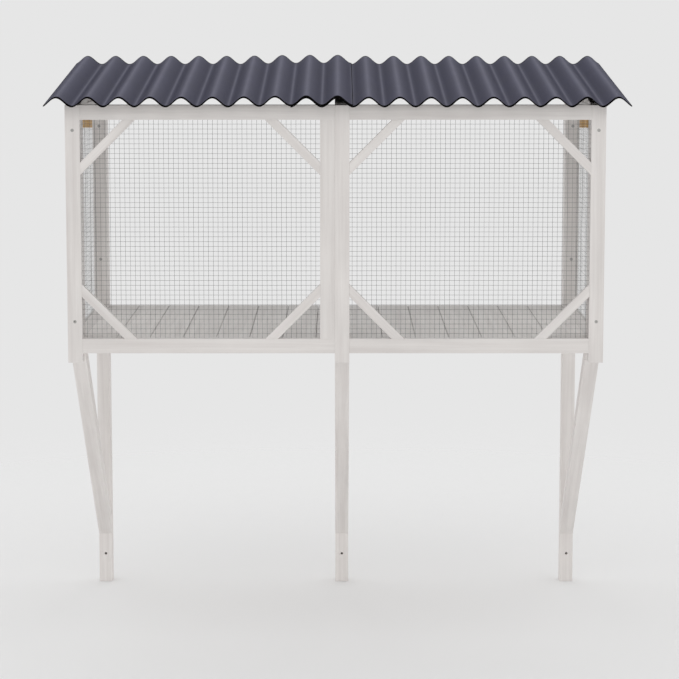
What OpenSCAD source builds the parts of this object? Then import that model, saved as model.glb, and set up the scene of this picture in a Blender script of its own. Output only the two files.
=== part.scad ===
// Window box catio: a timber-framed mesh box held on a wall below a window by
// three legs and three raking struts, under a lean-to roof of two lapped
// corrugated sheets. Millimetres, +Z up. X = 0 is the middle of the frame,
// Y = 0 is the wall, with the front at -Y, and Z = 0 is level with the leg ends.

/* [Frame] */
// Width across the two front corner posts
frame_w = 1396; // [1100:2:1600]
// Depth from the front of the frame to the wall
frame_d = 760; // [600:5:900]
// Height of the mesh box over its rails
box_h = 645; // [500:1:800]
// Height of the underside of the box above the leg ends
box_z = 779; // [700:1:1000]
// Side of the square framing timber
timber = 38; // [34:1:44]
// How far the front posts run on below the box
post_tail = 25; // [5:1:60]
// Place of the joint between the two front panels, from the middle
panel_joint_x = -2; // [-40:1:40]

/* [Corner braces] */
// Distance from a corner to the near edge of its brace, along post and rail
brace_reach = 110; // [60:1:150]
// Width of a brace across its grain
brace_w = 23; // [16:1:34]
// Thickness of a brace
brace_t = 19; // [12:1:22]

/* [Wire mesh] */
// Pitch of the welded mesh, both ways
mesh_pitch = 12.7; // [12.7, 25.4]
// One wire in this many is drawn, so that the net stays light
mesh_every = 3; // [2:1:5]
// Diameter of the mesh wire
wire_d = 0.7; // [0.6:0.1:1.6]
// How far the mesh is let into the timber all round
mesh_let_in = 8; // [4:1:10]
// Distance from the outer face of a side panel to its mesh
side_mesh_inset = 7; // [4:1:14]
// Clearance of the mesh in its groove, on each side
mesh_play = 0.3; // [0.1:0.1:0.6]

/* [Floor] */
// Width of a floor board
board_w = 86; // [70:1:110]
// Gap between two floor boards
board_gap = 1; // [0.5:0.5:3]
// Thickness of a floor board
board_t = 16; // [12:1:20]

/* [Legs and struts] */
// Height of the strut's toe above the leg end
strut_toe = 144; // [80:2:250]
// Distance from the front of the frame to the strut's plumb-cut nose
strut_setback = 91; // [80:1:150]
// Height of the strut's plumb-cut nose
strut_nose = 31; // [10:1:34]
// Height of the wall bolt's hole above the leg end
foot_hole_z = 84; // [40:1:140]
// Diameter of the wall bolt's hole
foot_hole_d = 8; // [6:0.5:12]

/* [Roof] */
// Slope of the roof, in degrees
roof_slope = 6.85; // [5:0.05:10]
// How far the sheets run out in front of the frame, along the slope
eave = 41; // [20:1:80]
// Pitch of the corrugations
wave_pitch = 80; // [76:0.1:95]
// Height of the corrugations
wave_h = 23.2; // [15:0.2:38]
// Thickness of a sheet, measured upright
sheet_t = 3; // [2:0.2:4]
// How far the roof runs out past the left side of the frame
roof_left_overhang = 50.2; // [20:0.2:100]
// How far the roof runs out past the right side of the frame
roof_right_overhang = 60.6; // [20:0.2:100]
// Distance from the roof's left edge to its first trough
first_trough_run = 73.1; // [5:0.1:78]
// Waves by which the two sheets lap
lap_waves = 2; // [1:1:3]
// Height of a rafter, square to the slope
rafter_h = 22; // [16:1:32]

/* [Fixings] */
// Distance of the fixing blocks' tops below the top of the box
block_drop = 32; // [0:2:150]
// Height of a fixing block
block_h = 56; // [40:1:70]
// Diameter of a screw's head
screw_head_d = 9; // [6:0.5:10]
// Diameter of a screw's shank
screw_shank_d = 4.5; // [3.5:0.5:5.5]
// Length of a screw
screw_len = 62; // [50:1:70]
// Distance of the front upper screws below the top rail
front_screw_drop = 27; // [15:1:80]
// Distance of the front lower screws above the bottom rail
front_screw_rise = 45; // [15:1:80]
// Distance of the back upper screws below the top rail
back_screw_drop = 44; // [15:1:120]
// Distance of the back lower screws above the bottom rail
back_screw_rise = 142; // [15:1:200]

/* [Hidden] */
// Whole boards that the floor takes; the last one is cut wide to fill it
board_count = floor((frame_w - 2 * timber + board_gap) / (board_w + board_gap));

$fn = 48;

// Faces of the frame
x_out = frame_w / 2;
x_in = x_out - timber;
front_y = -frame_d;
behind_front_y = front_y + timber;
before_back_y = -timber;
floor_z = box_z + timber;
top_rail_z = box_z + box_h - timber;
box_top_z = box_z + box_h;
opening_h = top_rail_z - floor_z;
bearer_h = timber - board_t;
side_open_front_y = behind_front_y + timber;
side_open_back_y = before_back_y - timber;
centre_x = panel_joint_x;
stile_x = panel_joint_x - timber;

// Mesh
// Depth to which two wires are melted into each other where they cross
weld = 0.2;
mesh_t = 2 * wire_d - weld;
front_mesh_y = front_y + brace_t;
wire_step = mesh_pitch * mesh_every;

// Roof, in its own tilted frame: the undersides of the troughs lie at height 0
// and the front arris of the front rail lies at length 0
back_run = frame_d / cos(roof_slope) - (wave_h + sheet_t) * tan(roof_slope);
points_per_wave = 12;
roof_left_x = -x_out - roof_left_overhang;
roof_right_x = x_out + roof_right_overhang;
first_trough_x = roof_left_x + first_trough_run;
// The upper sheet ends in the first trough to the right of the centre post
upper_waves = ceil((centre_x + timber - first_trough_x) / wave_pitch);
upper_right_x = first_trough_x + upper_waves * wave_pitch;
lower_left_x = upper_right_x - lap_waves * wave_pitch;
rafter_rise = rafter_h / cos(roof_slope);

timber_colour = [0.83, 0.81, 0.79];
bare_timber_colour = [0.66, 0.55, 0.43];
wire_colour = [0.62, 0.62, 0.62];
roof_colour = [0.31, 0.31, 0.36];
screw_colour = [0.55, 0.55, 0.54];

// Height of the roof's underside plane at a distance behind the front face
function roof_z(y) = box_top_z + (y - front_y) * tan(roof_slope);

// A bar of timber between two opposite corners
module bar(low, high) {
    translate(low) cube(high - low);
}

// --- Screws -------------------------------------------------------------

// A countersunk wood screw with its head flush at Y = 0, driven towards +Y
module wood_screw() {
    head_r = screw_head_d / 2;
    shank_r = screw_shank_d / 2;
    rotate([-90, 0, 0])
        rotate_extrude()
            polygon([
                [0, 0],
                [head_r, 0],
                [shank_r, head_r],
                [shank_r, screw_len - screw_shank_d],
                [0, screw_len]
            ]);
}

// Screws through a front post into the stile behind it
module front_post_screws(x) {
    for (z = [floor_z + front_screw_rise, top_rail_z - front_screw_drop])
        translate([x, front_y, z]) wood_screw();
}

// Screws through a back stile into the wall post behind it
module back_stile_screws(x) {
    for (z = [floor_z + back_screw_rise, top_rail_z - back_screw_drop])
        translate([x, side_open_back_y, z]) wood_screw();
}

module frame_screws() {
    color(screw_colour)
        for (side = [-1, 1]) {
            front_post_screws(side * (x_out - timber / 2));
            back_stile_screws(side * (x_out - timber / 2));
        }
}

// --- Grooves that hold the mesh ------------------------------------------

// The groove round a front opening that starts at x and is w wide
module front_mesh_groove(x, w) {
    translate([x - mesh_let_in, front_mesh_y - mesh_play, floor_z - mesh_let_in])
        cube([w + 2 * mesh_let_in, mesh_t + 2 * mesh_play, opening_h + 2 * mesh_let_in]);
}

module left_bay_groove() {
    front_mesh_groove(-x_in, stile_x + x_in);
}

module right_bay_groove() {
    front_mesh_groove(centre_x + timber, x_in - centre_x - timber);
}

// The groove round the opening of the left side panel
module left_side_groove() {
    translate([-x_out + side_mesh_inset - mesh_play, side_open_front_y - mesh_let_in,
               floor_z - mesh_let_in])
        cube([mesh_t + 2 * mesh_play,
              side_open_back_y - side_open_front_y + 2 * mesh_let_in,
              opening_h + 2 * mesh_let_in]);
}

// --- Front frame ---------------------------------------------------------

// A front post whose left face is at x
module front_post(x) {
    bar([x, front_y, box_z - post_tail], [x + timber, behind_front_y, box_top_z]);
}

module left_front_post() {
    color(timber_colour)
        difference() {
            front_post(-x_out);
            left_bay_groove();
            front_post_screws(-x_out + timber / 2);
        }
}

module centre_front_post() {
    color(timber_colour)
        difference() {
            front_post(centre_x);
            right_bay_groove();
        }
}

module right_front_post() {
    color(timber_colour)
        difference() {
            front_post(x_in);
            right_bay_groove();
            front_post_screws(x_out - timber / 2);
        }
}

// Stile that closes the left panel beside the centre post, between its rails
module left_panel_stile() {
    color(timber_colour)
        difference() {
            bar([stile_x, front_y, floor_z], [centre_x, behind_front_y, top_rail_z]);
            left_bay_groove();
        }
}

// The left panel's rails run from the corner post over the stile
module left_front_rail(z) {
    difference() {
        bar([-x_in, front_y, z], [centre_x, behind_front_y, z + timber]);
        left_bay_groove();
    }
}

module right_front_rail(z) {
    difference() {
        bar([centre_x + timber, front_y, z], [x_in, behind_front_y, z + timber]);
        right_bay_groove();
    }
}

module left_front_top_rail() {
    color(timber_colour) left_front_rail(top_rail_z);
}

module right_front_top_rail() {
    color(timber_colour) right_front_rail(top_rail_z);
}

module left_front_bottom_rail() {
    color(timber_colour) left_front_rail(box_z);
}

module right_front_bottom_rail() {
    color(timber_colour) right_front_rail(box_z);
}

// A mitred brace across the corner at x, z; right and up are 1 or -1 and say
// which way the opening lies from that corner
module corner_brace(x, z, right, up) {
    far = brace_reach + brace_w * sqrt(2);
    color(timber_colour)
        translate([x, front_y + brace_t, z])
            rotate([90, 0, 0])
                linear_extrude(brace_t)
                    polygon([
                        [right * brace_reach, 0],
                        [right * far, 0],
                        [0, up * far],
                        [0, up * brace_reach]
                    ]);
}

// --- Legs and wall side --------------------------------------------------

// Hole for a wall bolt through a leg whose left face is at x
module foot_hole(x) {
    translate([x + timber / 2, 1, foot_hole_z])
        rotate([90, 0, 0])
            cylinder(h = timber + 2, d = foot_hole_d);
}

// Long post on the wall that is leg, corner and roof prop in one
module wall_post(x) {
    difference() {
        bar([x, before_back_y, 0], [x + timber, 0, roof_z(before_back_y)]);
        foot_hole(x);
        back_stile_screws(x + timber / 2);
    }
}

module left_wall_post() {
    color(timber_colour) wall_post(-x_out);
}

module right_wall_post() {
    color(timber_colour) wall_post(x_in);
}

// Middle leg, which stops under the back floor bearer
module centre_leg() {
    color(timber_colour)
        difference() {
            bar([centre_x, before_back_y, 0], [centre_x + timber, 0, box_z]);
            foot_hole(centre_x);
        }
}

module back_top_rail() {
    top = roof_z(before_back_y);
    color(timber_colour)
        bar([-x_in, before_back_y, top - timber], [x_in, 0, top]);
}

// --- Side panels ---------------------------------------------------------

module left_side_front_stile() {
    color(timber_colour)
        difference() {
            bar([-x_out, behind_front_y, box_z], [-x_in, side_open_front_y, box_top_z]);
            left_side_groove();
            front_post_screws(-x_out + timber / 2);
        }
}

module left_side_back_stile() {
    color(timber_colour)
        difference() {
            bar([-x_out, side_open_back_y, box_z], [-x_in, before_back_y, box_top_z]);
            left_side_groove();
            back_stile_screws(-x_out + timber / 2);
        }
}

module left_side_rail(z) {
    color(timber_colour)
        difference() {
            bar([-x_out, side_open_front_y, z], [-x_in, side_open_back_y, z + timber]);
            left_side_groove();
        }
}

module left_side_top_rail() {
    left_side_rail(top_rail_z);
}

module left_side_bottom_rail() {
    left_side_rail(box_z);
}

module right_side_front_stile() {
    mirror([1, 0, 0]) left_side_front_stile();
}

module right_side_back_stile() {
    mirror([1, 0, 0]) left_side_back_stile();
}

module right_side_top_rail() {
    mirror([1, 0, 0]) left_side_top_rail();
}

module right_side_bottom_rail() {
    mirror([1, 0, 0]) left_side_bottom_rail();
}

// --- Rafters and struts --------------------------------------------------

// Extrude an outline drawn in Y and Z across one timber, from x
module across(x, outline) {
    translate([x, 0, 0])
        rotate([90, 0, 90])
            linear_extrude(timber)
                polygon(outline);
}

// Side rafter, scribed flat at its front end to sit on the side panel
module side_rafter(x) {
    lift_off_y = front_y + rafter_rise / tan(roof_slope);
    color(timber_colour)
        across(x, [
            [behind_front_y, box_top_z],
            [lift_off_y, box_top_z],
            [before_back_y, roof_z(before_back_y) - rafter_rise],
            [before_back_y, roof_z(before_back_y)],
            [behind_front_y, roof_z(behind_front_y)]
        ]);
}

module left_rafter() {
    side_rafter(-x_out);
}

module right_rafter() {
    side_rafter(x_in);
}

// Middle rafter, between the centre post and the back top rail
module centre_rafter() {
    color(timber_colour)
        across(centre_x, [
            [behind_front_y, roof_z(behind_front_y) - rafter_rise],
            [before_back_y, roof_z(before_back_y) - rafter_rise],
            [before_back_y, roof_z(before_back_y)],
            [behind_front_y, roof_z(behind_front_y)]
        ]);
}

// Raking strut from a leg's front face to the underside of the box, with a
// plumb cut on the leg, a level seat under the box and a plumb-cut nose
module strut(x) {
    nose_y = front_y + strut_setback;
    rake = atan((box_z - strut_nose - strut_toe) / (before_back_y - nose_y));
    upright = timber / cos(rake);
    seat_end_y = before_back_y - (box_z - strut_toe - upright) / tan(rake);
    color(timber_colour)
        across(x, [
            [before_back_y, strut_toe],
            [before_back_y, strut_toe + upright],
            [seat_end_y, box_z],
            [nose_y, box_z],
            [nose_y, box_z - strut_nose]
        ]);
}

module left_strut() {
    strut(-x_out);
}

module centre_strut() {
    strut(centre_x);
}

module right_strut() {
    strut(x_in);
}

// --- Floor ---------------------------------------------------------------

module front_floor_bearer() {
    color(timber_colour)
        bar([-x_in, behind_front_y, box_z], [x_in, side_open_front_y, box_z + bearer_h]);
}

module back_floor_bearer() {
    color(timber_colour)
        bar([-x_in, before_back_y, box_z], [x_in, 0, box_z + bearer_h]);
}

module centre_floor_joist() {
    color(timber_colour)
        bar([centre_x, side_open_front_y, box_z],
            [centre_x + timber, before_back_y, box_z + bearer_h]);
}

// Boards are laid from the left; the last one is cut to what is left
module floor_board(number) {
    left_x = -x_in + (number - 1) * (board_w + board_gap);
    right_x = number == board_count ? x_in : left_x + board_w;
    if (number <= board_count)
        color(timber_colour)
            bar([left_x, behind_front_y, floor_z - board_t], [right_x, 0, floor_z]);
}

// --- Mesh ----------------------------------------------------------------

// A flat net, w by h from the origin along X and Z. The upright wires lie in
// front and the level ones are welded to them from behind, sunk in by the weld.
// The thin wires are drawn square.
module net(w, h) {
    across_count = floor((w - wire_d) / wire_step) + 1;
    up_count = floor((h - wire_d) / wire_step) + 1;
    first_x = (w - (across_count - 1) * wire_step) / 2;
    first_z = (h - (up_count - 1) * wire_step) / 2;
    color(wire_colour) {
        for (i = [0 : across_count - 1])
            translate([first_x + i * wire_step - wire_d / 2, 0, 0])
                cube([wire_d, wire_d, h]);
        for (j = [0 : up_count - 1])
            translate([0, wire_d - weld, first_z + j * wire_step - wire_d / 2])
                cube([w, wire_d, wire_d]);
    }
}

// Every net stands on the bottom of its groove and is a play short of the top
net_h = opening_h + 2 * mesh_let_in - 2 * mesh_play;

module front_net(x, w) {
    translate([x - mesh_let_in + mesh_play, front_mesh_y, floor_z - mesh_let_in])
        net(w + 2 * mesh_let_in - 2 * mesh_play, net_h);
}

module left_front_mesh() {
    front_net(-x_in, stile_x + x_in);
}

module right_front_mesh() {
    front_net(centre_x + timber, x_in - centre_x - timber);
}

module left_side_mesh() {
    net_w = side_open_back_y - side_open_front_y + 2 * mesh_let_in - 2 * mesh_play;
    translate([-x_out + side_mesh_inset,
               side_open_back_y + mesh_let_in - mesh_play,
               floor_z - mesh_let_in])
        rotate([0, 0, -90])
            net(net_w, net_h);
}

module right_side_mesh() {
    mirror([1, 0, 0]) left_side_mesh();
}

// --- Roof ----------------------------------------------------------------

// Underside of the corrugation at x, 0 in a trough
function wave(x) = wave_h / 2 * (1 - cos(360 * (x - first_trough_x) / wave_pitch));

// The upper sheet climbs a sheet's thickness over its last waves to the lap
climb_waves = 2;
function climb(x) =
    sheet_t * min(1, max(0, 1 - (lower_left_x - x) / (climb_waves * wave_pitch)));

// Points across a sheet from one edge to the other, on the corrugation's own
// divisions, so that two lapped sheets nest
function stations(left, right) =
    let (step = wave_pitch / points_per_wave)
    let (first = ceil((left - first_trough_x) / step + 0.01))
    let (last = floor((right - first_trough_x) / step - 0.01))
    concat(left, [for (i = [first : last]) first_trough_x + i * step], right);

// A corrugated sheet between two edges; up is 1 for the sheet that climbs on
// to the other at the lap, and 0 for the one that lies below
module roof_sheet(left, right, up) {
    xs = stations(left, right);
    under = [for (x = xs) [x, wave(x) + up * climb(x)]];
    over = [for (i = [len(xs) - 1 : -1 : 0]) under[i] + [0, sheet_t]];
    color(roof_colour)
        translate([0, front_y, box_top_z])
            rotate([roof_slope, 0, 0])
                translate([0, back_run, 0])
                    rotate([90, 0, 0])
                        linear_extrude(eave + back_run)
                            polygon(concat(under, over));
}

module left_roof_sheet() {
    roof_sheet(roof_left_x, upper_right_x, 1);
}

module right_roof_sheet() {
    roof_sheet(lower_left_x, roof_right_x, 0);
}

// --- Wall fixings --------------------------------------------------------

// Bare timber blocks on the outer sides of the wall posts
module wall_fixing_blocks() {
    block_top_z = box_top_z - block_drop;
    color(bare_timber_colour)
        for (x = [-x_out - timber, x_out])
            bar([x, before_back_y, block_top_z - block_h], [x + timber, 0, block_top_z]);
}

left_front_post();
centre_front_post();
right_front_post();
left_panel_stile();
left_front_top_rail();
right_front_top_rail();
left_front_bottom_rail();
right_front_bottom_rail();
corner_brace(-x_in, top_rail_z, 1, -1);  // left_bay_upper_left_brace
corner_brace(stile_x, top_rail_z, -1, -1);  // left_bay_upper_right_brace
corner_brace(-x_in, floor_z, 1, 1);  // left_bay_lower_left_brace
corner_brace(stile_x, floor_z, -1, 1);  // left_bay_lower_right_brace
corner_brace(centre_x + timber, top_rail_z, 1, -1);  // right_bay_upper_left_brace
corner_brace(x_in, top_rail_z, -1, -1);  // right_bay_upper_right_brace
corner_brace(centre_x + timber, floor_z, 1, 1);  // right_bay_lower_left_brace
corner_brace(x_in, floor_z, -1, 1);  // right_bay_lower_right_brace
left_wall_post();
right_wall_post();
centre_leg();
back_top_rail();
left_side_front_stile();
left_side_back_stile();
left_side_top_rail();
left_side_bottom_rail();
right_side_front_stile();
right_side_back_stile();
right_side_top_rail();
right_side_bottom_rail();
left_rafter();
centre_rafter();
right_rafter();
left_strut();
centre_strut();
right_strut();
front_floor_bearer();
back_floor_bearer();
centre_floor_joist();
floor_board(1);  // floor_board_1
floor_board(2);  // floor_board_2
floor_board(3);  // floor_board_3
floor_board(4);  // floor_board_4
floor_board(5);  // floor_board_5
floor_board(6);  // floor_board_6
floor_board(7);  // floor_board_7
floor_board(8);  // floor_board_8
floor_board(9);  // floor_board_9
floor_board(10);  // floor_board_10
floor_board(11);  // floor_board_11
floor_board(12);  // floor_board_12
floor_board(13);  // floor_board_13
floor_board(14);  // floor_board_14
floor_board(15);  // floor_board_15
floor_board(16);  // floor_board_16
floor_board(17);  // floor_board_17
floor_board(18);  // floor_board_18
floor_board(19);  // floor_board_19
floor_board(20);  // floor_board_20
floor_board(21);  // floor_board_21
left_front_mesh();
right_front_mesh();
left_side_mesh();
right_side_mesh();
left_roof_sheet();
right_roof_sheet();
wall_fixing_blocks();
frame_screws();
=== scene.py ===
# A window box catio, put together in the order a joiner would build it: the
# legs on the wall, the floor, the side and front panels, the struts, the
# rafters, the wire mesh and the roof. Metres, in the part's own frame.
import math
import random

import bmesh
import bpy
from mathutils import Matrix, Vector


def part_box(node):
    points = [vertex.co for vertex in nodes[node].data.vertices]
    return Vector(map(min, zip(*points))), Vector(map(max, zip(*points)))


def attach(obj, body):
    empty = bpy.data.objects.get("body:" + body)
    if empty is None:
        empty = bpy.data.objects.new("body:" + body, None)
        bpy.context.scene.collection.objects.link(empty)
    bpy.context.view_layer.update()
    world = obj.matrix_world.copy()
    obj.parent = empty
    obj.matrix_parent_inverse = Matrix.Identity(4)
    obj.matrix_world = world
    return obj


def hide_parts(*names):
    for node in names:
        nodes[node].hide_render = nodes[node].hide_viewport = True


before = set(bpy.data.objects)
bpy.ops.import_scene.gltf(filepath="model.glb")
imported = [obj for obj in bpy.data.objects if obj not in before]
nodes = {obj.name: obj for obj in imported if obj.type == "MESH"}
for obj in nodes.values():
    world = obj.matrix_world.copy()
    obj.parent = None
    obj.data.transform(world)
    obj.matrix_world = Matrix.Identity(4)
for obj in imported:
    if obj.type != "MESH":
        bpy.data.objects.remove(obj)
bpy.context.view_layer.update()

# --- Camera -----------------------------------------------------------------
# The photograph is taken with a long lens from about six metres in front of
# the box and a little above its roof, looking slightly down on it.
PHOTO_WIDTH_PX = 679
FOCAL_PX = 2364.5
LOOK_DOWN = math.radians(7.497)
CAMERA_PLACE = (0.0102, -6.8725, 1.6197)

photo_camera = bpy.data.cameras.new("photo_camera")
photo_camera.lens = photo_camera.sensor_width * FOCAL_PX / PHOTO_WIDTH_PX
photo_camera.clip_end = 100
camera_object = bpy.data.objects.new("photo_camera", photo_camera)
camera_object.location = CAMERA_PLACE
camera_object.rotation_euler = (math.pi / 2 - LOOK_DOWN, 0, 0)
bpy.context.scene.collection.objects.link(camera_object)
bpy.context.scene.camera = camera_object


# --- Wall posts and centre leg ----------------------------------------------
# Long square posts of planed softwood that stand against the wall, painted a
# pale warm grey, each drilled near its foot for a wall bolt. Their arrises are
# eased with a stroke of sandpaper, so a fine shadow marks every joint.
def srgb(red, green, blue):
    """A colour written from 0 to 255 as a screen shows it, ready for a shader."""
    def linear(value):
        part = value / 255
        return part / 12.92 if part <= 0.04045 else ((part + 0.055) / 1.055) ** 2.4
    return (linear(red), linear(green), linear(blue), 1)


def put(tree, kind, sockets=None, **settings):
    """Adds a shader node; a socket takes a value or another node's output."""
    made = tree.nodes.new("ShaderNode" + kind)
    for key, value in settings.items():
        setattr(made, key, value)
    for socket, value in (sockets or {}).items():
        if isinstance(value, bpy.types.NodeSocket):
            tree.links.new(value, made.inputs[socket])
        else:
            made.inputs[socket].default_value = value
    return made


def blank_material(name):
    material = bpy.data.materials.new(name)
    material.use_nodes = True
    material.node_tree.nodes.clear()
    return material


def coat_with(tree, sockets):
    """Ends a finish: its shader, set by these sockets, goes to the surface."""
    shader = put(tree, "BsdfPrincipled", sockets).outputs["BSDF"]
    tree.links.new(shader, put(tree, "OutputMaterial").inputs["Surface"])


def noise(tree, place, scale, detail, roughness=0.5):
    """Soft random patches, from 0 to 1."""
    return put(tree, "TexNoise", {
        "Vector": place, "Scale": scale, "Detail": detail, "Roughness": roughness,
    }).outputs["Fac"]


def spread(tree, value, sockets, **settings):
    """A value moved from one range to another."""
    return put(tree, "MapRange", {"Value": value, **sockets}, **settings).outputs["Result"]


def blend_colours(tree, factor, first, second):
    return put(tree, "Mix", {
        "Factor": factor, "A": first, "B": second,
    }, data_type="RGBA").outputs["Result"]


def shade(tree, colour, factor):
    """A colour made lighter or darker by a factor."""
    shaded = put(tree, "VectorMath", {0: colour, "Scale": factor}, operation="SCALE")
    return shaded.outputs["Vector"]


def stretched(tree, place, scale, **sockets):
    """Places stretched along the axes, so that patches on them turn into streaks."""
    return put(tree, "Mapping", {"Vector": place, "Scale": scale, **sockets}).outputs["Vector"]


def raise_by(tree, height, strength, distance, **sockets):
    """A surface raised and sunk by a pattern, at most by this distance."""
    return put(tree, "Bump", {
        "Height": height, "Strength": strength, "Distance": distance, **sockets,
    }).outputs["Normal"]


PAINT_LIGHT = srgb(220, 216, 213)
PAINT_DARK = srgb(208, 203, 200)
PAINT_WORN = srgb(229, 227, 223)
SEAM_DIRT_AND_SHADE = srgb(66, 61, 58)
STREAKS_ALONG = (2.4, 70, 70)
FIBRES_ALONG = (16, 620, 620)
WEAR_REACH = 0.0016
# Painted shade on the floor boards: from this Y they darken to this factor at the wall.
WALL_SHADE_FROM_Y = -0.4
WALL_SHADE = 0.7


def painted_timber(name, grain, seed, tone, dirt_and_shade):
    """Thin paint over softwood: grain shows through, arrises are rubbed pale; on floor boards they
    are darkened with dirt and painted shade, and the boards get painted shade towards the wall.
    """
    material = blank_material(name)
    tree = material.node_tree
    turn = Vector(grain).rotation_difference(Vector((1, 0, 0))).to_euler()
    shift = random.Random(seed)
    place = put(tree, "TexCoord").outputs["Object"]
    along = put(tree, "Mapping", {
        "Vector": place,
        "Rotation": turn,
        "Location": [shift.uniform(-9, 9) for _ in range(3)],
    }).outputs["Vector"]
    streaks = noise(tree, stretched(tree, along, STREAKS_ALONG), 1, 5, 0.6)
    fibres = noise(tree, stretched(tree, along, FIBRES_ALONG), 1, 2)
    clouds = noise(tree, along, 5, 3)

    streaky = spread(tree, streaks, {"From Min": 0.34, "From Max": 0.64})
    paint = blend_colours(tree, streaky, PAINT_DARK, PAINT_LIGHT)
    cloudy = spread(tree, clouds, {
        "From Min": 0.3, "From Max": 0.7, "To Min": 0.96 * tone, "To Max": 1.03 * tone,
    })
    clouded = shade(tree, paint, cloudy)

    rounded = put(tree, "Bevel", {"Radius": WEAR_REACH}, samples=4).outputs["Normal"]
    flat = put(tree, "NewGeometry").outputs["True Normal"]
    facing = put(tree, "VectorMath", {0: rounded, 1: flat}, operation="DOT_PRODUCT")
    # On floor boards the arrises are darkened with dirt and with painted shade in the seams
    # between the boards and at their ends.
    edge_wear_and_shade = spread(tree, facing.outputs["Value"], {
        "From Min": 0.995, "From Max": 0.86, "To Min": 0, "To Max": 0.85 if dirt_and_shade else 0.5,
    })
    worn_and_shaded = blend_colours(tree, edge_wear_and_shade, clouded, SEAM_DIRT_AND_SHADE if dirt_and_shade else PAINT_WORN)
    # Painted shade: the floor boards are painted darker towards the wall.
    if dirt_and_shade:
        from_wall = put(tree, "SeparateXYZ", {0: place}).outputs["Y"]
        wall_shade = spread(tree, from_wall, {
            "From Min": WALL_SHADE_FROM_Y, "From Max": 0, "To Min": 1, "To Max": WALL_SHADE,
        }, interpolation_type="SMOOTHSTEP")
        worn_and_shaded = shade(tree, worn_and_shaded, wall_shade)

    grain_bump = raise_by(tree, streaks, 0.25, 0.0006)
    fibre_bump = raise_by(tree, fibres, 0.3, 0.0003, Normal=grain_bump)
    sheen = spread(tree, clouds, {
        "From Min": 0.3, "From Max": 0.7, "To Min": 0.52, "To Max": 0.64,
    })
    coat_with(tree, {"Base Color": worn_and_shaded, "Roughness": sheen, "Normal": fibre_bump})
    return material


ARRIS = 0.0011
GROOVE_DEPTH = 0.008
GROOVE_SEEN = 0.0004
SHARP_ANGLE = math.radians(25)
FLAT_ANGLE = math.radians(1)
SAME_PLACE = 1e-5


def on_corner_line(edge, low, high):
    """True where an edge runs along one of the outer corners of the piece's box."""
    middle = (edge.verts[0].co + edge.verts[1].co) / 2
    on_faces = sum(
        min(abs(middle[axis] - low[axis]), abs(middle[axis] - high[axis])) < SAME_PLACE
        for axis in range(3)
    )
    return on_faces >= 2


def fill_grooves(shaped, low, high):
    """The mesh fills its groove, so the groove is drawn no deeper than it is seen."""
    for vert in shaped.verts:
        for axis in range(3):
            for face, inward in ((low[axis], 1), (high[axis], -1)):
                if abs((vert.co[axis] - face) * inward - GROOVE_DEPTH) < SAME_PLACE:
                    vert.co[axis] = face + inward * GROOVE_SEEN


def stand_in(name, mesh, node):
    """The mesh as a piece of its own, shown in the place of the node's plain solid."""
    piece = bpy.data.objects.new(name, mesh)
    bpy.context.scene.collection.objects.link(piece)
    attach(piece, "root")
    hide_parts(node)
    return piece


def planed(node, grain, square=True, tone=1, dirt_and_shade=False):
    """The node's own timber with its arrises eased, and its paint and grain."""
    low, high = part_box(node)
    shaped = bmesh.new()
    shaped.from_mesh(nodes[node].data)
    bmesh.ops.remove_doubles(shaped, verts=shaped.verts, dist=SAME_PLACE)
    fill_grooves(shaped, low, high)
    bmesh.ops.dissolve_limit(
        shaped, angle_limit=FLAT_ANGLE, verts=shaped.verts, edges=shaped.edges
    )
    arrises = [
        edge for edge in shaped.edges
        if len(edge.link_faces) == 2
        and edge.calc_face_angle() > SHARP_ANGLE
        and (not square or on_corner_line(edge, low, high))
    ]
    bmesh.ops.bevel(
        shaped, geom=arrises, offset=ARRIS, segments=2, profile=0.6, affect="EDGES",
        clamp_overlap=True,
    )
    mesh = bpy.data.meshes.new(node + "_timber")
    shaped.to_mesh(mesh)
    shaped.free()
    mesh.materials.append(painted_timber(node + "_paint", grain, node, tone, dirt_and_shade))
    return stand_in(node + "_timber", mesh, node)


ALONG_X = (1, 0, 0)
ALONG_Y = (0, 1, 0)
ALONG_Z = (0, 0, 1)
# Painted light: the legs and struts, in the shade under the box, are painted lighter than the rest
# by this factor.
SHADE_LIFT_TONE = 1.12

for post in ("left_wall_post", "right_wall_post", "centre_leg"):
    planed(post, ALONG_Z, tone=SHADE_LIFT_TONE)


# --- Floor bearers and joist ------------------------------------------------
# Half-height battens between the posts and down the middle, which carry the
# boards so that the floor finishes flush with the top of the bottom rails.
planed("front_floor_bearer", ALONG_X)
planed("back_floor_bearer", ALONG_X)
planed("centre_floor_joist", ALONG_Y)


# --- Floor boards -----------------------------------------------------------
# Planed boards laid front to back from the left, a saw's width apart; the last
# one on the right is cut to what is left. Each has its own run of grain.
BOARD_COUNT = 15
BOARD_TONE = 1.08

# The boards carry painted shade: darker in the seams and towards the wall.
for number in range(1, BOARD_COUNT + 1):
    planed(f"floor_board_{number}", ALONG_Y, tone=BOARD_TONE, dirt_and_shade=True)


# --- Side panels ------------------------------------------------------------
# A ladder of two stiles and two rails on each side, butt-jointed and screwed,
# with a groove ploughed all round the opening for the mesh.
for side in ("left", "right"):
    planed(f"{side}_side_front_stile", ALONG_Z)
    planed(f"{side}_side_back_stile", ALONG_Z)
    planed(f"{side}_side_top_rail", ALONG_Y)
    planed(f"{side}_side_bottom_rail", ALONG_Y)


# --- Front frame ------------------------------------------------------------
# Three posts that run a little below the box, rails butted between them, and a
# stile beside the centre post that closes the left panel.
for post in ("left_front_post", "centre_front_post", "right_front_post", "left_panel_stile"):
    planed(post, ALONG_Z)
for rail in ("left_front_top_rail", "right_front_top_rail",
             "left_front_bottom_rail", "right_front_bottom_rail"):
    planed(rail, ALONG_X)


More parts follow.
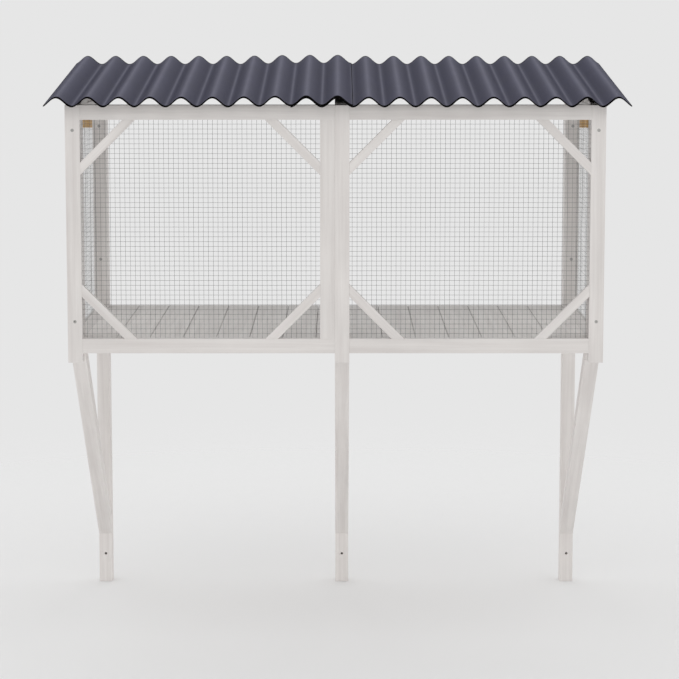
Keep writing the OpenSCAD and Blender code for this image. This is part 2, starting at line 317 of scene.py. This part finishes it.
# --- Corner braces ----------------------------------------------------------
# Thin laths mitred across every corner of both bays, flush with the front of
# the frame, with the mesh passing behind them.
RISING = (1, 0, 1)
FALLING = (1, 0, -1)

for bay in ("left_bay", "right_bay"):
    planed(f"{bay}_upper_left_brace", RISING, square=False)
    planed(f"{bay}_lower_right_brace", RISING, square=False)
    planed(f"{bay}_upper_right_brace", FALLING, square=False)
    planed(f"{bay}_lower_left_brace", FALLING, square=False)


# --- Struts -----------------------------------------------------------------
# Raking struts from the legs to the underside of the box, cut plumb on the
# leg, level under the box and plumb again at the nose.
for strut in ("left_strut", "centre_strut", "right_strut"):
    low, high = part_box(strut)
    planed(strut, (0, high.y - low.y, low.z - high.z), square=False, tone=SHADE_LIFT_TONE)


# --- Rafters and back rail --------------------------------------------------
# Battens that follow the fall of the roof from the front rail up to the back
# rail between the wall posts, which carries the sheets along the wall.
planed("back_top_rail", ALONG_X)
ROOF_SLOPE = math.radians(6.85)
UP_SLOPE = (0, math.cos(ROOF_SLOPE), math.sin(ROOF_SLOPE))

for rafter in ("left_rafter", "centre_rafter", "right_rafter"):
    planed(rafter, UP_SLOPE, square=False)


# --- Wire mesh --------------------------------------------------------------
# Half-inch welded mesh of thin galvanised wire, let into the grooves: uprights outside, level
# wires inside, and a small weld where each pair crosses. The side nets are of a thinner wire than
# the front ones, and their zinc is painted lighter, as painted light against the shade under the
# roof.
MESH_PITCH = 0.0127
WIRE_RADIUS = 0.00035
SIDE_WIRE_RADIUS = 0.00026
WIRE_SIDES = 6
WIRE_SWAY = 0.0006

# In wire radii: how far in from the outer side the level wires and the welds
# lie, and how far a weld reaches along the wires
LEVEL_WIRE_DEPTH = 2.6
WELD_DEPTH = 1.8
WELD_REACH = 1.5

ZINC_DARK = srgb(121, 120, 119)
ZINC_LIGHT = srgb(162, 160, 159)
ZINC_BANDS = (2, 12, 1.2)


def galvanised_wire(name, tone, bands):
    """Zinc that differs a little from wire to wire, and in bands across the roll."""
    material = blank_material(name)
    tree = material.node_tree
    place = put(tree, "TexCoord").outputs["Object"]
    spangle = noise(tree, place, 180, 3, 0.6)
    zinc = blend_colours(tree, spangle, ZINC_DARK, ZINC_LIGHT)
    wire_tone = put(tree, "Attribute", attribute_name="wire_tone").outputs["Fac"]
    own_tone = spread(tree, wire_tone, {"To Min": 0.4 * tone, "To Max": 1.6 * tone})
    band = noise(tree, stretched(tree, place, ZINC_BANDS, Rotation=(0.06, 0, 0)), 1, 1)
    band_tone = spread(tree, band, {
        "From Min": 0.35, "From Max": 0.65, "To Min": 1 - bands, "To Max": 1 + bands,
    })
    toned = shade(tree, shade(tree, zinc, own_tone), band_tone)
    dull = spread(tree, spangle, {"To Min": 0.4, "To Max": 0.65})
    pitted = raise_by(tree, spangle, 0.2, 0.0001)
    coat_with(tree, {"Base Color": toned, "Metallic": 0.6, "Roughness": dull, "Normal": pitted})
    return material


def add_wire(verts, faces, centres, across, out, radius):
    """One wire through a row of centres, as a tube of a few sides."""
    base = len(verts)
    for centre in centres:
        for side in range(WIRE_SIDES):
            turn = 2 * math.pi * side / WIRE_SIDES
            rim = across * math.cos(turn) + out * math.sin(turn)
            verts.append(centre + rim * radius)
    for station in range(len(centres) - 1):
        for side in range(WIRE_SIDES):
            after = (side + 1) % WIRE_SIDES
            ring = base + station * WIRE_SIDES
            faces.append((ring + side, ring + after,
                          ring + WIRE_SIDES + after, ring + WIRE_SIDES + side))
    last = base + (len(centres) - 1) * WIRE_SIDES
    faces.append([base + side for side in reversed(range(WIRE_SIDES))])
    faces.append([last + side for side in range(WIRE_SIDES)])


def add_weld(verts, faces, centre, across, up, out, radius):
    """A flattened bead of zinc where two wires cross."""
    base = len(verts)
    for step in (across, up, -across, -up):
        verts.append(centre + step * radius * WELD_REACH)
    verts.append(centre + out * radius)
    verts.append(centre - out * radius)
    for side in range(4):
        after = (side + 1) % 4
        faces.append((base + side, base + after, base + 4))
        faces.append((base + after, base + side, base + 5))


def centred_steps(low, high, pitch):
    """Places at one pitch between two ends, with equal margins."""
    span = high - low - 2 * WIRE_RADIUS
    count = math.floor(span / pitch) + 1
    first = (low + high) / 2 - (count - 1) * pitch / 2
    return [first + step * pitch for step in range(count)]


# Painted light: the side nets' zinc is painted lighter than the front nets', to make up for the
# shade they stand in.
front_finish = galvanised_wire("front_net_zinc", tone=0.6, bands=0.15)
side_finish = galvanised_wire("side_net_zinc", tone=1.1, bands=0.4)


def welded_mesh(node, across_axis, outward, radius, finish):
    """The full net in the place of the node's light one."""
    low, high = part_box(node)
    chance = random.Random(node)
    across = Vector((1, 0, 0)) if across_axis == 0 else Vector((0, 1, 0))
    up = Vector((0, 0, 1))
    out = Vector(outward)
    depth_axis = 1 - across_axis
    outer = max(low[depth_axis] * out[depth_axis], high[depth_axis] * out[depth_axis])

    uprights = centred_steps(low[across_axis], high[across_axis], MESH_PITCH)
    levels = centred_steps(low.z, high.z, MESH_PITCH)
    sways = [(chance.uniform(-1, 1), chance.uniform(-1, 1)) for _ in uprights]

    def sway(column, z):
        """How far an upright lies off the net's plane: nothing in the grooves, most between."""
        rise = math.pi * (z - low.z) / (high.z - low.z)
        first, second = sways[column]
        return WIRE_SWAY * (first * math.sin(rise) + second * math.sin(2 * rise))

    def point(column, z, depth):
        """A place on the net, in front of an upright, that far in from its outer side."""
        along, far = uprights[column], (outer - depth + sway(column, z)) * out[depth_axis]
        return Vector((along, far, z)) if across_axis == 0 else Vector((far, along, z))

    verts, faces, tones = [], [], []
    for column in range(len(uprights)):
        centres = [point(column, z, radius) for z in (low.z, *levels, high.z)]
        add_wire(verts, faces, centres, across, out, radius)
        tones += [chance.random()] * (len(verts) - len(tones))
    for z in levels:
        centres = [point(column, z, LEVEL_WIRE_DEPTH * radius) for column in range(len(uprights))]
        left, right = centres[0].copy(), centres[-1].copy()
        left[across_axis], right[across_axis] = low[across_axis], high[across_axis]
        add_wire(verts, faces, [left, *centres, right], up, out, radius)
        tones += [chance.random()] * (len(verts) - len(tones))
    for column in range(len(uprights)):
        for z in levels:
            crossing = point(column, z, WELD_DEPTH * radius)
            add_weld(verts, faces, crossing, across, up, out, radius)
    tones += [0.5] * (len(verts) - len(tones))
    mesh = bpy.data.meshes.new(node + "_wires")
    mesh.from_pydata([tuple(vert) for vert in verts], [], faces)
    mesh.attributes.new("wire_tone", "FLOAT", "POINT").data.foreach_set("value", tones)
    mesh.polygons.foreach_set("use_smooth", [True] * len(mesh.polygons))
    mesh.update()
    mesh.materials.append(finish)
    stand_in(node + "_wires", mesh, node)


welded_mesh("left_front_mesh", 0, (0, -1, 0), WIRE_RADIUS, front_finish)
welded_mesh("right_front_mesh", 0, (0, -1, 0), WIRE_RADIUS, front_finish)
welded_mesh("left_side_mesh", 1, (-1, 0, 0), SIDE_WIRE_RADIUS, side_finish)
welded_mesh("right_side_mesh", 1, (1, 0, 0), SIDE_WIRE_RADIUS, side_finish)


# --- Roof sheets ------------------------------------------------------------
# Two corrugated sheets of fibre soaked in bitumen, slate grey on top and black
# below and at the cut edges, laid to the fall of the rafters. The left one
# climbs by its own thickness and laps over the right one by two waves.
WAVE_PITCH = 0.08
WAVE_HEIGHT = 0.0232
SHEET_THICK = 0.003
FIRST_TROUGH_X = -0.6751
UPPER_WAVES = 9
LAP_WAVES = 2
CLIMB_WAVES = 2
EAVE = 0.041
BARE_SIDE = 0.0015
BARE_FRONT = 0.0125
BARE_BACK = 0.01
WAVE_POINTS = 36
LENGTH_POINTS = 24
CREASE = math.radians(50)
BARE = 1  # the place of the bare finish among a sheet's two
front_post_low, front_post_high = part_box("left_front_post")
roof_pivot = Vector((0, front_post_low.y, front_post_high.z))
back_lean = (WAVE_HEIGHT + SHEET_THICK) * math.tan(ROOF_SLOPE)
back_run = -roof_pivot.y / math.cos(ROOF_SLOPE) - back_lean
lap_left_x = FIRST_TROUGH_X + (UPPER_WAVES - LAP_WAVES) * WAVE_PITCH

# Painted light and shade across one wave, as parts of the way from trough to trough: highlights in
# the trough and on the crest, shade on the flanks
SLATE_BLUE = 14
TROUGH_HIGHLIGHT_GREY = 104
WAVE_LIGHT_AND_SHADE_GREYS = (
    (0.06, 79), (0.13, 72), (0.28, 76), (0.38, 82),
    (0.5, 102), (0.62, 87), (0.75, 82), (0.89, 75), (0.94, 79),
)
RUNS_ALONG = (160, 22, 160)
BITUMEN_DARK = srgb(3, 3, 3)
BITUMEN_LIGHT = srgb(15, 14, 14)
MATT = 0.01


def slate(grey):
    return srgb(grey, grey, grey + SLATE_BLUE)


def slate_top():
    """Matt slate-grey coating, with painted highlights on crests and in troughs and painted shade
    on the flanks.
    """
    material = blank_material("slate_top")
    tree = material.node_tree
    place = put(tree, "TexCoord").outputs["Object"]
    runs = noise(tree, stretched(tree, place, RUNS_ALONG), 1, 4, 0.6)
    pores = noise(tree, place, 900, 2, 0.6)
    clouds = noise(tree, place, 9, 3, 0.55)

    across = put(tree, "SeparateXYZ", {0: place}).outputs["X"]
    waves = spread(tree, across, {
        "From Min": FIRST_TROUGH_X, "From Max": FIRST_TROUGH_X + WAVE_PITCH,
    }, clamp=False)
    part = put(tree, "Math", {0: waves}, operation="FRACT").outputs["Value"]
    painted_wave_light = put(tree, "ValToRGB", {"Fac": part})
    stops = painted_wave_light.color_ramp.elements
    stops[0].color = stops[1].color = slate(TROUGH_HIGHLIGHT_GREY)
    for at, grey in WAVE_LIGHT_AND_SHADE_GREYS:
        stops.new(at).color = slate(grey)

    cloudy = spread(tree, clouds, {
        "From Min": 0.3, "From Max": 0.7, "To Min": 0.93, "To Max": 1.07,
    })
    speckle = spread(tree, pores, {
        "From Min": 0.35, "From Max": 0.65, "To Min": 0.92, "To Max": 1.08,
    })
    colour = shade(tree, shade(tree, painted_wave_light.outputs["Color"], cloudy), speckle)
    run_bump = raise_by(tree, runs, 0.3, 0.0006)
    pore_bump = raise_by(tree, pores, 0.35, 0.0003, Normal=run_bump)
    sheen = spread(tree, clouds, {
        "From Min": 0.3, "From Max": 0.7, "To Min": 0.62, "To Max": 0.74,
    })
    coat_with(tree, {
        "Base Color": colour, "Roughness": sheen, "Normal": pore_bump,
        "Specular IOR Level": MATT,
    })
    return material


def black_bitumen():
    """Bare bitumen and fibre, as the underside and the cut edges show it."""
    material = blank_material("black_bitumen")
    tree = material.node_tree
    place = put(tree, "TexCoord").outputs["Object"]
    fibres = noise(tree, place, 420, 4, 0.7)
    coat_with(tree, {
        "Base Color": blend_colours(tree, fibres, BITUMEN_DARK, BITUMEN_LIGHT),
        "Roughness": spread(tree, fibres, {"To Min": 0.75, "To Max": 0.95}),
        "Normal": raise_by(tree, fibres, 0.5, 0.0004),
        "Specular IOR Level": MATT,
    })
    return material


sheet_top_finish = slate_top()
sheet_under_finish = black_bitumen()


def wave_height(x):
    """Underside of the corrugation, 0 in a trough."""
    return WAVE_HEIGHT / 2 * (1 - math.cos(2 * math.pi * (x - FIRST_TROUGH_X) / WAVE_PITCH))


def climb(x):
    """How far the upper sheet has climbed towards the lap."""
    part = 1 - (lap_left_x - x) / (CLIMB_WAVES * WAVE_PITCH)
    return SHEET_THICK * min(1, max(0, part))


def corrugated_sheet(node, climbs):
    """An even sheet of waves with closed rims, bare in a narrow strip along each edge."""
    low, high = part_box(node)
    columns = round((high.x - low.x) / WAVE_PITCH * WAVE_POINTS)
    xs = [low.x + (high.x - low.x) * column / columns for column in range(columns + 1)]
    lengths = [
        -EAVE + (back_run + EAVE) * row / LENGTH_POINTS for row in range(LENGTH_POINTS + 1)
    ]
    lengths[1:1] = [-EAVE + BARE_FRONT]
    lengths[-1:-1] = [back_run - BARE_BACK]
    xs[1:1] = [low.x + BARE_SIDE]
    xs[-1:-1] = [high.x - BARE_SIDE]
    columns = len(xs) - 1
    tilt = Matrix.Translation(roof_pivot) @ Matrix.Rotation(ROOF_SLOPE, 4, "X")
    sheet = bmesh.new()
    layers = []
    for lift in (0, SHEET_THICK):
        layer = []
        for x in xs:
            height = wave_height(x) + (climb(x) if climbs else 0) + lift
            layer.append([
                sheet.verts.new(tilt @ Vector((x, length, height))) for length in lengths
            ])
        layers.append(layer)
    under, over = layers
    rows = len(lengths)
    for column in range(columns):
        for row in range(rows - 1):
            top = sheet.faces.new((over[column][row], over[column + 1][row],
                                   over[column + 1][row + 1], over[column][row + 1]))
            bottom = sheet.faces.new((under[column][row], under[column][row + 1],
                                      under[column + 1][row + 1], under[column + 1][row]))
            top.smooth = True
            bottom.smooth = True
            bottom.material_index = BARE
            if row in (0, rows - 2) or column in (0, columns - 1):
                top.material_index = BARE
        for row, turn in ((0, 1), (rows - 1, -1)):
            corners = (under[column][row], under[column + 1][row],
                       over[column + 1][row], over[column][row])
            rim = sheet.faces.new(corners[::turn])
            rim.material_index = BARE
    for row in range(rows - 1):
        for column, turn in ((0, -1), (columns, 1)):
            corners = (under[column][row], under[column][row + 1],
                       over[column][row + 1], over[column][row])
            rim = sheet.faces.new(corners[::turn])
            rim.material_index = BARE
    for edge in sheet.edges:
        if edge.calc_face_angle(0) > CREASE:
            edge.smooth = False
    mesh = bpy.data.meshes.new(node + "_corrugated")
    sheet.to_mesh(mesh)
    sheet.free()
    mesh.materials.append(sheet_top_finish)
    mesh.materials.append(sheet_under_finish)
    stand_in(node + "_corrugated", mesh, node)


corrugated_sheet("left_roof_sheet", climbs=True)
corrugated_sheet("right_roof_sheet", climbs=False)


# --- Wall fixing blocks -----------------------------------------------------
# Short offcuts of bare softwood on the outer sides of the wall posts, with the
# warm colour and plain grain of timber that has had no paint.
SPRING_WOOD = srgb(218, 174, 92)
SUMMER_WOOD = srgb(164, 120, 56)
RINGS_ALONG = (1.2, 14, 14)


def bare_timber():
    material = blank_material("bare_timber")
    tree = material.node_tree
    place = put(tree, "TexCoord").outputs["Object"]
    rings = put(tree, "TexWave", {
        "Vector": stretched(tree, place, RINGS_ALONG), "Scale": 5, "Distortion": 5,
        "Detail": 3, "Detail Scale": 1.2,
    }, wave_type="RINGS").outputs["Fac"]
    coat_with(tree, {
        "Base Color": blend_colours(tree, rings, SPRING_WOOD, SUMMER_WOOD),
        "Roughness": spread(tree, rings, {"To Min": 0.6, "To Max": 0.8}),
        "Normal": raise_by(tree, rings, 0.25, 0.0005),
    })
    return material


blocks = planed("wall_fixing_blocks", ALONG_Z, square=False)
blocks.data.materials[0] = bare_timber()


# --- Screws -----------------------------------------------------------------
# Countersunk zinc-plated wood screws, heads flush with the timber, with a
# cross recess for the driver: two through each front post and back stile.
HEAD_RADIUS = 0.0045
HEAD_EDGE = 0.0003
SHANK_RADIUS = 0.00225
SCREW_LENGTH = 0.062
RECESS_REACH = 0.0022
RECESS_HALF_WIDTH = 0.0005
RECESS_DEPTH = 0.0018
RECESS_TAPER = 0.6
SCREW_TURN_STEPS = 24
SCREW_X = 0.679
FRONT_POST_SCREW_HEIGHTS = (0.862, 1.359)
BACK_STILE_SCREW_HEIGHTS = (0.959, 1.342)
PLATE_DARK = srgb(142, 141, 138)
PLATE_LIGHT = srgb(182, 181, 178)


def zinc_plate():
    material = blank_material("zinc_plate")
    tree = material.node_tree
    place = put(tree, "TexCoord").outputs["Object"]
    haze = noise(tree, place, 700, 3)
    coat_with(tree, {
        "Base Color": blend_colours(tree, haze, PLATE_DARK, PLATE_LIGHT),
        "Metallic": 0.8,
        "Roughness": spread(tree, haze, {"To Min": 0.3, "To Max": 0.55}),
    })
    return material


def add_screw(steel, head, twist):
    """One screw driven towards +Y from its head's place, its recess turned a little."""
    turned = Matrix.Translation(head) @ Matrix.Rotation(twist, 4, "Y")

    def circle(radius, depth):
        steps = [2 * math.pi * step / SCREW_TURN_STEPS for step in range(SCREW_TURN_STEPS)]
        return [steel.verts.new(turned @ Vector((radius * math.cos(turn), depth,
                                                 radius * math.sin(turn)))) for turn in steps]

    def cross(depth, size):
        reach, half = RECESS_REACH * size, RECESS_HALF_WIDTH * size
        corners = []
        for quarter in range(4):
            spin = Matrix.Rotation(-math.pi / 2 * quarter, 4, "Y")
            for x, z in ((reach, 0), (reach, half), (half, half), (half, reach)):
                corners.append(steel.verts.new(turned @ spin @ Vector((x, depth, z))))
        return corners

    rings = [
        circle(HEAD_RADIUS, 0),
        circle(HEAD_RADIUS, HEAD_EDGE),
        circle(SHANK_RADIUS, HEAD_RADIUS),
        circle(SHANK_RADIUS, SCREW_LENGTH - 2 * SHANK_RADIUS),
    ]
    for ring, after in zip(rings, rings[1:]):
        for step in range(SCREW_TURN_STEPS):
            beyond = (step + 1) % SCREW_TURN_STEPS
            side = steel.faces.new((ring[step], after[step], after[beyond], ring[beyond]))
            side.smooth = True
    tip = steel.verts.new(turned @ Vector((0, SCREW_LENGTH, 0)))
    for step in range(SCREW_TURN_STEPS):
        steel.faces.new((rings[-1][step], tip, rings[-1][(step + 1) % SCREW_TURN_STEPS]))
    mouth, floor = cross(0, 1), cross(RECESS_DEPTH, RECESS_TAPER)
    corners = len(mouth)
    quarter_corners = corners // 4
    quarter_steps = SCREW_TURN_STEPS // 4
    for quarter in range(4):
        rim = [rings[0][(quarter * quarter_steps + step) % SCREW_TURN_STEPS]
               for step in range(quarter_steps + 1)]
        inner = [mouth[(quarter * quarter_corners + step) % corners]
                 for step in range(quarter_corners + 1)]
        steel.faces.new(rim + inner[::-1])
    for step in range(corners):
        beyond = (step + 1) % corners
        steel.faces.new((mouth[step], mouth[beyond], floor[beyond], floor[step]))
    steel.faces.new(floor)


screw_chance = random.Random(8)
screws = bmesh.new()
stile_back_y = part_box("left_side_back_stile")[0].y
for x in (-SCREW_X, SCREW_X):
    for y, heights in ((front_post_low.y, FRONT_POST_SCREW_HEIGHTS),
                       (stile_back_y, BACK_STILE_SCREW_HEIGHTS)):
        for z in heights:
            add_screw(screws, Vector((x, y, z)), screw_chance.uniform(0, math.pi / 2))
bmesh.ops.recalc_face_normals(screws, faces=screws.faces)
screw_mesh = bpy.data.meshes.new("countersunk_screws")
screws.to_mesh(screw_mesh)
screws.free()
screw_mesh.materials.append(zinc_plate())
stand_in("countersunk_screws", screw_mesh, "frame_screws")


# --- Studio -----------------------------------------------------------------
# A pale seamless floor that fades into the backdrop, an even dome of soft
# light, and a weak light from behind that lays faint shadows in front.
FLOOR_RADIUS = 9
FLOOR_MIDDLE = (0, -0.4, 0)
FADE_FROM, FADE_TO = 0.7, 3.6
PAPER = srgb(236, 236, 236)
BACKDROP = srgb(230, 230, 230)
DOME_STRENGTH = 0.93

floor_mesh = bpy.data.meshes.new("studio_floor")
ring = bmesh.new()
bmesh.ops.create_circle(ring, cap_ends=True, segments=96, radius=FLOOR_RADIUS)
ring.to_mesh(floor_mesh)
ring.free()
studio_floor = bpy.data.objects.new("studio_floor", floor_mesh)
studio_floor.location = FLOOR_MIDDLE
bpy.context.scene.collection.objects.link(studio_floor)

floor_finish = blank_material("studio_floor")
floor_tree = floor_finish.node_tree
floor_place = put(floor_tree, "TexCoord").outputs["Object"]
from_middle = put(floor_tree, "VectorMath", {0: floor_place}, operation="LENGTH")
fade = spread(floor_tree, from_middle.outputs["Value"], {
    "From Min": FADE_FROM, "From Max": FADE_TO,
}, interpolation_type="SMOOTHSTEP")
paper = put(floor_tree, "BsdfDiffuse", {"Color": PAPER})
clear = put(floor_tree, "BsdfTransparent")
floor_mix = put(floor_tree, "MixShader", {
    0: fade, 1: paper.outputs["BSDF"], 2: clear.outputs["BSDF"],
})
floor_output = put(floor_tree, "OutputMaterial")
floor_tree.links.new(floor_mix.outputs["Shader"], floor_output.inputs["Surface"])
floor_mesh.materials.append(floor_finish)

world = bpy.data.worlds.new("studio_dome")
world.use_nodes = True
world.node_tree.nodes.clear()
bpy.context.scene.world = world
seen = put(world.node_tree, "Background", {"Color": BACKDROP, "Strength": 1})
dome = put(world.node_tree, "Background", {"Color": (1, 1, 1, 1), "Strength": DOME_STRENGTH})
rays = put(world.node_tree, "LightPath")
backdrop = put(world.node_tree, "MixShader", {
    0: rays.outputs["Is Camera Ray"], 1: dome.outputs["Background"], 2: seen.outputs["Background"],
})
world_output = put(world.node_tree, "OutputWorld")
world.node_tree.links.new(backdrop.outputs["Shader"], world_output.inputs["Surface"])


def soft_light(name, place, aim, width, height, power):
    lamp = bpy.data.lights.new(name, "AREA")
    lamp.shape = "RECTANGLE"
    lamp.size = width
    lamp.size_y = height
    lamp.energy = power
    lamp_object = bpy.data.objects.new(name, lamp)
    lamp_object.location = place
    towards = Vector(aim) - Vector(place)
    lamp_object.rotation_euler = towards.to_track_quat("-Z", "Y").to_euler()
    bpy.context.scene.collection.objects.link(lamp_object)


soft_light("high_softbox", (-0.8, -5.0, 4.3), (0, -0.4, 0.9), 3, 2, 12)
soft_light("low_softbox", (0.6, -6.4, 1.2), (0, -0.4, 0.8), 3, 1, 15)
soft_light("back_softbox", (0.0, 3.0, 3.4), (0, -0.4, 0.6), 2, 1, 10)

bpy.context.scene.view_settings.view_transform = "Standard"
